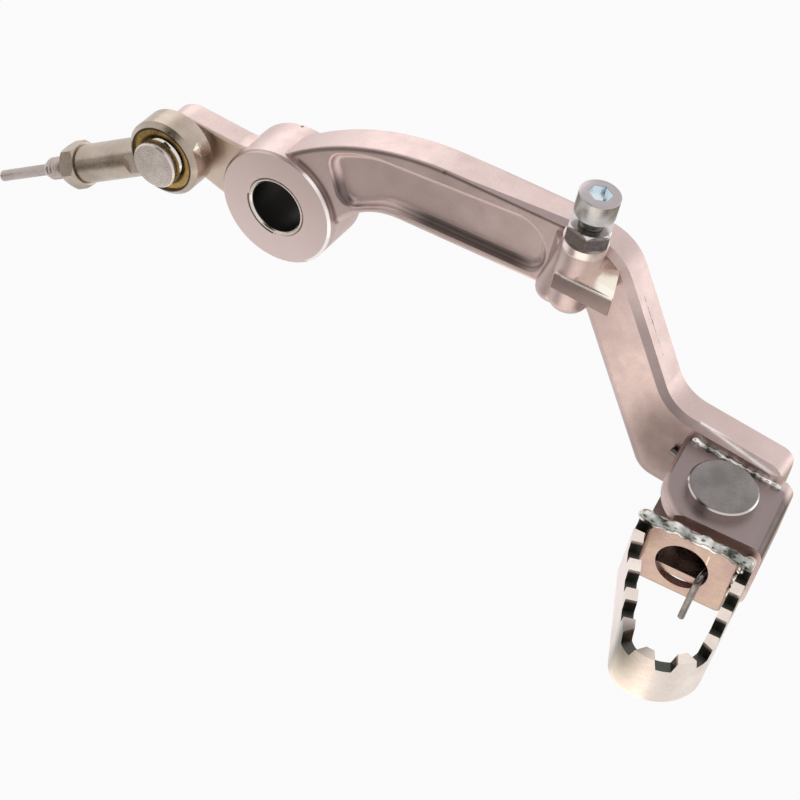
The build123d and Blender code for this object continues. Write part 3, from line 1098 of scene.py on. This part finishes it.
springPiece = makeSpring()
dress(springPiece, springSteel)
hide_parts("step_spring")
print("spring made,", len(springPiece.data.polygons), "faces")

# Weld beads: lumps set along a line, melted into one

melting = dict(
    ballCuts=3,
    jitter=0.25,  # of a lump along the line, as a share of the spacing
    smallest=0.7,  # lump, as a share of the radius
    voxel=0.2 * mm,
    smoothing=0.5,
    passes=20,
)


def onStep(u, v, z):  # a place along the step's plate, out from its pin and up, in mm
    toe = math.radians(toeDeg)
    x = pinX * mm + (u * math.cos(toe) + v * math.sin(toe)) * mm
    y = pinY * mm + (u * math.sin(toe) - v * math.cos(toe)) * mm
    return Vector((x, y, z * mm))


beads = dict(
    plate_weld=dict(
        start=onStep(-12.6, 15.35, 1.0),
        end=onStep(12.4, 15.35, 1.0),
        lumps=11,
        radius=1.75 * mm,
        long=1.5,
        uneven=0.22,
        body="step",
        slot="step_zinc",
    ),
    strip_weld=dict(
        start=onStep(11.7, 16.5, 0.6),
        end=onStep(11.7, 16.5, -12.0),
        lumps=8,
        radius=1.0 * mm,
        long=1.2,
        uneven=0.35,
        body="step",
        slot="step_zinc",
    ),
    fork_weld=dict(
        start=Vector((121.5, -4.9, 2.4)) * mm,
        end=Vector((143.0, -4.9, 2.4)) * mm,
        lumps=13,
        radius=1.1 * mm,
        long=1.6,
        uneven=0.22,
        body="arm",
        slot="arm_metal",
    ),
)


def makeBead(name, bead):
    dice = random.Random(len(name))
    start, end, last = bead["start"], bead["end"], bead["lumps"] - 1
    along = max(range(3), key=lambda axis: abs(end[axis] - start[axis]))
    clearSelection()
    bpy.ops.mesh.primitive_ico_sphere_add(subdivisions=melting["ballCuts"], radius=bead["radius"])
    lump = bpy.context.object
    lumps = []
    for i in range(bead["lumps"]):
        copy = lump.copy()
        copy.data = lump.data.copy()
        bpy.context.scene.collection.objects.link(copy)
        share = (i + dice.uniform(-melting["jitter"], melting["jitter"])) / last
        wander = Vector([dice.uniform(-1, 1) for axis in range(3)]) * bead["radius"] * bead["uneven"]
        copy.location = start.lerp(end, min(1, max(0, share))) + wander
        copy.scale = [dice.uniform(melting["smallest"], 1.0) for axis in range(3)]
        copy.scale[along] *= bead["long"]
        lumps.append(copy)
    bpy.data.objects.remove(lump)
    piece = joinPieces(lumps, name)
    bpy.ops.object.transform_apply(location=True, rotation=True, scale=True)
    melt = piece.modifiers.new("melt", "REMESH")
    melt.mode = "VOXEL"
    melt.voxel_size = melting["voxel"]
    even = piece.modifiers.new("even", "SMOOTH")
    even.factor = melting["smoothing"]
    even.iterations = melting["passes"]
    applyAll(piece)
    outwards(piece)
    bpy.ops.object.shade_smooth()
    dress(piece, weldMetal)
    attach(piece, bead["body"])
    return piece


for beadName, bead in beads.items():
    beadPiece = makeBead(beadName, bead)
    print(beadName, "made,", len(beadPiece.data.polygons), "faces")

# Boss dressing: the broad rear flank and the ledge's front band

bossFlank = dict(
    foot=inMm(77.2, -8.4, 23.9),
    footRadius=5.1 * mm,
    footRound=3.2 * mm,
    roundSteps=8,
    top=inMm(79.8, -6.8, 43.8),
    topRadius=4.0 * mm,
    sides=64,
    drillPlace=inMm(screwX, screwY, 30.0),
    drillLength=100.0 * mm,
    boreRadius=3.1 * mm,
)


def makeBossFlank(size):
    piece = startDisc(size["footRadius"], size["sides"], size["foot"])
    piece.name = piece.data.name = "boss_flank"
    rise = Vector(size["top"]) - Vector(size["foot"])
    grow = size["topRadius"] / size["footRadius"]
    bpy.ops.mesh.extrude_region_move(TRANSFORM_OT_translate={"value": rise})
    bpy.ops.transform.resize(value=(grow, grow, 1), center_override=size["top"])
    pickVerts(piece, lambda co: co.z < 0.5 * rise.z)
    bpy.ops.mesh.bevel(offset=size["footRound"], segments=size["roundSteps"], affect="EDGES")
    bpy.ops.object.mode_set(mode="OBJECT")
    bpy.ops.object.transform_apply(location=True, rotation=True, scale=True)
    clearSelection()
    bpy.ops.mesh.primitive_cylinder_add(
        vertices=size["sides"],
        radius=size["boreRadius"],
        depth=size["drillLength"],
        location=size["drillPlace"],
    )
    cutAway(piece, bpy.context.object)
    outwards(piece)
    return piece


ledgeBand = dict(
    rearX=78.2 * mm,
    frontX=93.6 * mm,
    outerY=-14.55 * mm,
    innerY=-11.4 * mm,
    rearZ=(31.2 * mm, 35.9 * mm),
    frontZ=(32.0 * mm, 37.25 * mm),
    frontSlant=1.4 * mm,
    edge=0.35 * mm,
    edgeSteps=3,
)


def makeLedgeBand(size):
    clearSelection()
    middleX = (size["rearX"] + size["frontX"]) / 2
    middleY = (size["outerY"] + size["innerY"]) / 2
    middleZ = sum(size["rearZ"]) / 2
    bpy.ops.mesh.primitive_cube_add(size=1, location=(middleX, middleY, middleZ))
    piece = bpy.context.object
    piece.name = piece.data.name = "ledge_band"
    tall = size["rearZ"][1] - size["rearZ"][0]
    piece.scale = (size["frontX"] - size["rearX"], size["innerY"] - size["outerY"], tall)
    bpy.ops.object.transform_apply(location=True, rotation=True, scale=True)
    bpy.ops.object.mode_set(mode="EDIT")
    pickVerts(piece, lambda co: co.x > middleX and co.z > middleZ)
    bpy.ops.transform.translate(value=(0, 0, size["frontZ"][1] - size["rearZ"][1]))
    pickVerts(piece, lambda co: co.x > middleX and co.z < middleZ)
    bpy.ops.transform.translate(value=(0, 0, size["frontZ"][0] - size["rearZ"][0]))
    pickVerts(piece, lambda co: co.x > middleX and co.y > middleY)
    bpy.ops.transform.translate(value=(-size["frontSlant"], 0, 0))
    bpy.ops.mesh.select_all(action="SELECT")
    bpy.ops.mesh.bevel(offset=size["edge"], segments=size["edgeSteps"], affect="EDGES")
    outwards(piece)
    return piece


for bossPiece in (makeBossFlank(bossFlank), makeLedgeBand(ledgeBand)):
    dress(bossPiece, armMetal)
    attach(bossPiece, "arm")
    print(bossPiece.name, "made,", len(bossPiece.data.polygons), "faces")

# Camera, as the photograph was taken

photoCamera = dict(
    place=(0.215793, -0.422197, 0.418269),
    right=(0.82744, 0.53267, 0.17778),
    up=(-0.49481, 0.54189, 0.67935),
    lens=112.5,
    sensor=36.0,
    nearest=0.01,
    farthest=20,
)


def makeCamera(size):
    data = bpy.data.cameras.new("photoCamera")
    data.lens = size["lens"]
    data.sensor_width = size["sensor"]
    data.clip_start = size["nearest"]
    data.clip_end = size["farthest"]
    camera = bpy.data.objects.new("photoCamera", data)
    bpy.context.scene.collection.objects.link(camera)
    right = Vector(size["right"]).normalized()
    up = Vector(size["up"]).normalized()
    turn = Matrix((right, up, right.cross(up))).transposed()
    camera.matrix_world = Matrix.Translation(size["place"]) @ turn.to_4x4()
    bpy.context.scene.camera = camera


# White studio: floor, surround, lamps and the boards that the metal mirrors

studio = dict(
    floorZ=-0.075,
    floorSize=12.0,
    floorColour=(0.86, 0.86, 0.86),
    floorRough=0.9,
    floorShine=0.1,
    glow=0.93,  # share of plain white where the floor is seen
    roomLight=0.45,
)


def whiteWhenSeen(tree):  # 1 for what the camera, a reflection or a clear body looks at
    path = tree.nodes.new("ShaderNodeLightPath")
    seen = mathNode(tree, "ADD", path.outputs["Is Camera Ray"], path.outputs["Is Glossy Ray"])
    through = mathNode(tree, "ADD", seen, path.outputs["Is Transmission Ray"])
    through.node.use_clamp = True
    return through


def makeFloor():
    clearSelection()
    bpy.ops.mesh.primitive_plane_add(size=studio["floorSize"], location=(0, 0, studio["floorZ"]))
    floor = bpy.context.object
    floor.name = "studioFloor"
    mat = bpy.data.materials.new("paleFloor")
    mat.use_nodes = True
    tree = mat.node_tree
    paint = tree.nodes["Principled BSDF"]
    paint.inputs["Base Color"].default_value = (*studio["floorColour"], 1)
    paint.inputs["Roughness"].default_value = studio["floorRough"]
    paint.inputs["Specular IOR Level"].default_value = studio["floorShine"]
    white = tree.nodes.new("ShaderNodeEmission")
    mixed = tree.nodes.new("ShaderNodeMixShader")
    tree.links.new(mathNode(tree, "MULTIPLY", whiteWhenSeen(tree), studio["glow"]), mixed.inputs["Fac"])
    tree.links.new(paint.outputs["BSDF"], mixed.inputs[1])
    tree.links.new(white.outputs["Emission"], mixed.inputs[2])
    tree.links.new(mixed.outputs["Shader"], tree.nodes["Material Output"].inputs["Surface"])
    floor.data.materials.append(mat)


def makeWorld():
    world = bpy.data.worlds.new("studioRoom")
    bpy.context.scene.world = world
    world.use_nodes = True
    tree = world.node_tree
    backdrop = tree.nodes["Background"]
    backdrop.inputs["Color"].default_value = (1, 1, 1, 1)
    level = rangeNode(tree, whiteWhenSeen(tree), 0, 1, studio["roomLight"], 1, "LINEAR")
    tree.links.new(level, backdrop.inputs["Strength"])


lamps = dict(
    topSoft=dict(place=(-0.55, 0.50, 0.31), aim=(0.03, -0.01, 0.02), size=(0.6, 0.5), watts=0.86),
    rightSoft=dict(place=(0.75, 0.55, 0.10), aim=(0.10, -0.01, 0.02), size=(0.5, 0.4), watts=0.66),
)


def makeLamps():
    for name, lamp in lamps.items():
        data = bpy.data.lights.new(name, "AREA")
        data.shape = "RECTANGLE"
        data.size, data.size_y = lamp["size"]
        data.energy = lamp["watts"]
        light = bpy.data.objects.new(name, data)
        bpy.context.scene.collection.objects.link(light)
        light.location = lamp["place"]
        light.rotation_mode = "QUATERNION"
        light.rotation_quaternion = (Vector(lamp["aim"]) - Vector(lamp["place"])).to_track_quat("-Z", "Y")


boards = dict(  # dark and bright boards round the set, seen only in the metal
    frontFlag=dict(
        place=(-0.09, -0.36, 0.33),
        aim=(0.04, -0.02, 0.02),
        size=(0.34, 0.34),
        grey=(0.05, 0.04, 0.03),
    ),
    leftFlag=dict(
        place=(-0.32, -0.31, -0.01),
        aim=(-0.04, -0.01, -0.01),
        size=(0.30, 0.12),
        grey=(0.12, 0.10, 0.08),
    ),
    rodFlag=dict(
        place=(-0.172, -0.17, -0.0725),
        aim=(-0.172, -0.17, 0.5),
        size=(0.20, 0.18),
        grey=(0.22, 0.19, 0.16),
    ),
    backFlag=dict(
        place=(0.22, 0.10, -0.070),
        aim=(0.22, 0.10, 0.5),
        size=(0.22, 0.16),
        grey=(0.55, 0.50, 0.42),
    ),
    nearFlag=dict(
        place=(-0.006, -0.216, -0.072),
        aim=(-0.006, -0.216, 0.5),
        size=(0.108, 0.248),
        grey=(0.28, 0.235, 0.212),
    ),
    nearCard=dict(
        place=(0.110, -0.100, -0.071),
        aim=(0.110, -0.100, 0.5),
        size=(0.12, 0.09),
        grey=(1.66, 1.55, 1.42),
    ),
)


def makeBoards():
    for name, board in boards.items():
        clearSelection()
        bpy.ops.mesh.primitive_plane_add(size=1)
        card = bpy.context.object
        card.name = name
        card.scale = (*board["size"], 1)
        card.rotation_mode = "QUATERNION"
        card.rotation_quaternion = (Vector(board["aim"]) - Vector(board["place"])).to_track_quat("Z", "Y")
        card.location = board["place"]
        mat = bpy.data.materials.new(name + "Paint")
        mat.use_nodes = True
        paint = mat.node_tree.nodes["Principled BSDF"]
        paint.inputs["Base Color"].default_value = (0, 0, 0, 1)
        paint.inputs["Specular IOR Level"].default_value = 0
        paint.inputs["Emission Color"].default_value = (*board["grey"], 1)
        paint.inputs["Emission Strength"].default_value = 1
        card.data.materials.append(mat)
        card.visible_camera = card.visible_diffuse = card.visible_shadow = False


makeCamera(photoCamera)
makeFloor()
makeWorld()
makeLamps()
makeBoards()
bpy.context.scene.view_settings.view_transform = "Standard"
print("studio set")
